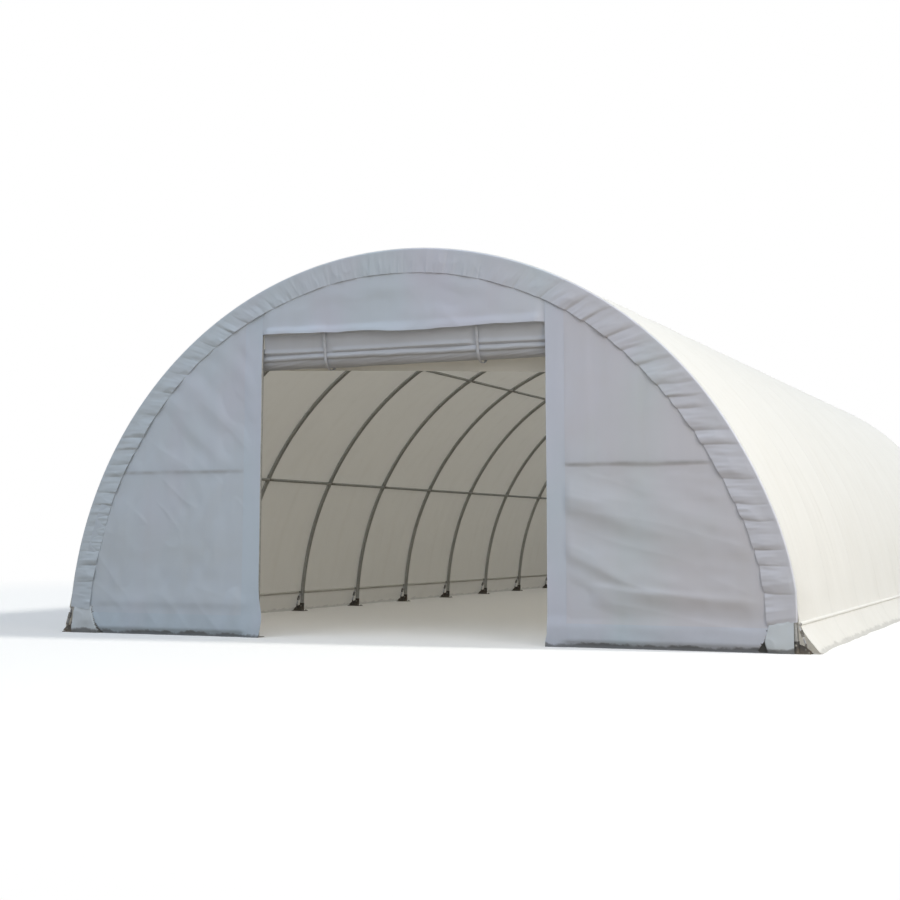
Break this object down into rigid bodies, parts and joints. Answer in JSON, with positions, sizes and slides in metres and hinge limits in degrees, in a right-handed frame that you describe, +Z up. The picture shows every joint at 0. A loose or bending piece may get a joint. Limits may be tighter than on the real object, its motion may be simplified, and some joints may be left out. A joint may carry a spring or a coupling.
{
  "type": "fabric storage shelter",
  "caption": "Half-round fabric storage shelter on steel tube arches, with gathered end borders, a rolled-up front door and a closed rear wall.",
  "frame": {"origin": "on the ground at the centre of the plan", "axes": "+X across the span, +Y from the door to the rear wall, +Z up"},
  "size_m": [9.4838, 19.924, 4.572],
  "materials": {
    "galvanised_steel": "galvanised, dull",
    "plate_steel": "matt, dusty",
    "webbing": "woven webbing",
    "cover_fabric": "coated weave, satin",
    "panel_fabric": "coated weave, satin",
    "door_fabric": "coated weave, satin"
  },
  "bodies": {
    "root": {"arch_01": "galvanised_steel", "arch_02": "galvanised_steel", "arch_03": "galvanised_steel", "arch_04": "galvanised_steel", "arch_05": "galvanised_steel", "arch_06": "galvanised_steel", "arch_07": "galvanised_steel", "arch_08": "galvanised_steel", "arch_09": "galvanised_steel", "arch_10": "galvanised_steel", "arch_11": "galvanised_steel", "purlin_right_lower": "galvanised_steel", "purlin_right_upper": "galvanised_steel", "purlin_ridge": "galvanised_steel", "purlin_left_upper": "galvanised_steel", "purlin_left_lower": "galvanised_steel", "base_plates_left": "plate_steel", "base_plates_right": "plate_steel", "tension_pipe_left": "galvanised_steel", "tension_pipe_right": "galvanised_steel", "tie_straps_left": "webbing", "tie_straps_right": "webbing", "front_post_left": "galvanised_steel", "front_post_right": "galvanised_steel", "front_header": "galvanised_steel", "front_girts": "galvanised_steel", "back_post_left": "galvanised_steel", "back_post_right": "galvanised_steel", "back_girts": "galvanised_steel", "cover_right_lower": "cover_fabric", "cover_right_middle": "cover_fabric", "cover_right_upper": "cover_fabric", "cover_left_upper": "cover_fabric", "cover_left_middle": "cover_fabric", "cover_left_lower": "cover_fabric", "skirt_left": "cover_fabric", "skirt_right": "cover_fabric", "front_border": "panel_fabric", "back_border": "panel_fabric", "front_panel_left": "panel_fabric", "front_panel_right": "panel_fabric", "front_panel_head": "panel_fabric", "back_panel": "panel_fabric", "door_roll": "door_fabric", "door_roll_tube": "galvanised_steel", "door_slings": "webbing"}
  },
  "joints": []
}
